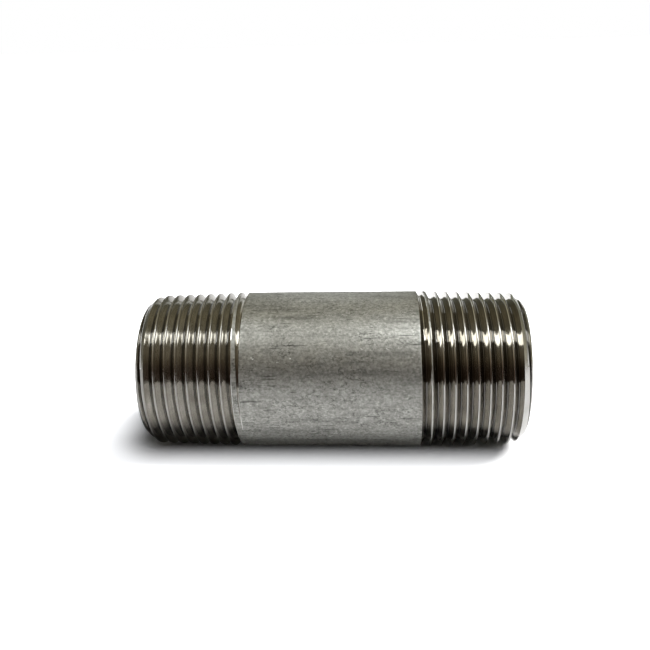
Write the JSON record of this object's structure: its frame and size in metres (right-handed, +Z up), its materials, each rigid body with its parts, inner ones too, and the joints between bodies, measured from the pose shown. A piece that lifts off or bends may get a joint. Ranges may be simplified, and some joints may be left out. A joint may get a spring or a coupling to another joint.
{
  "type": "threaded pipe nipple",
  "caption": "Short straight stainless pipe with a tapered external pipe thread on each end and a plain barrel between, for joining female threaded fittings.",
  "frame": {"origin": "on the pipe's axis at mid length", "axes": "+X along the pipe, +Z up as it lies on its side"},
  "size_m": [0.0636, 0.0266, 0.0266],
  "materials": {
    "stainless_steel": "pickled pipe surface on the barrel, bright as-cut threads"
  },
  "bodies": {
    "root": {"nipple_body": "stainless_steel"}
  },
  "joints": []
}
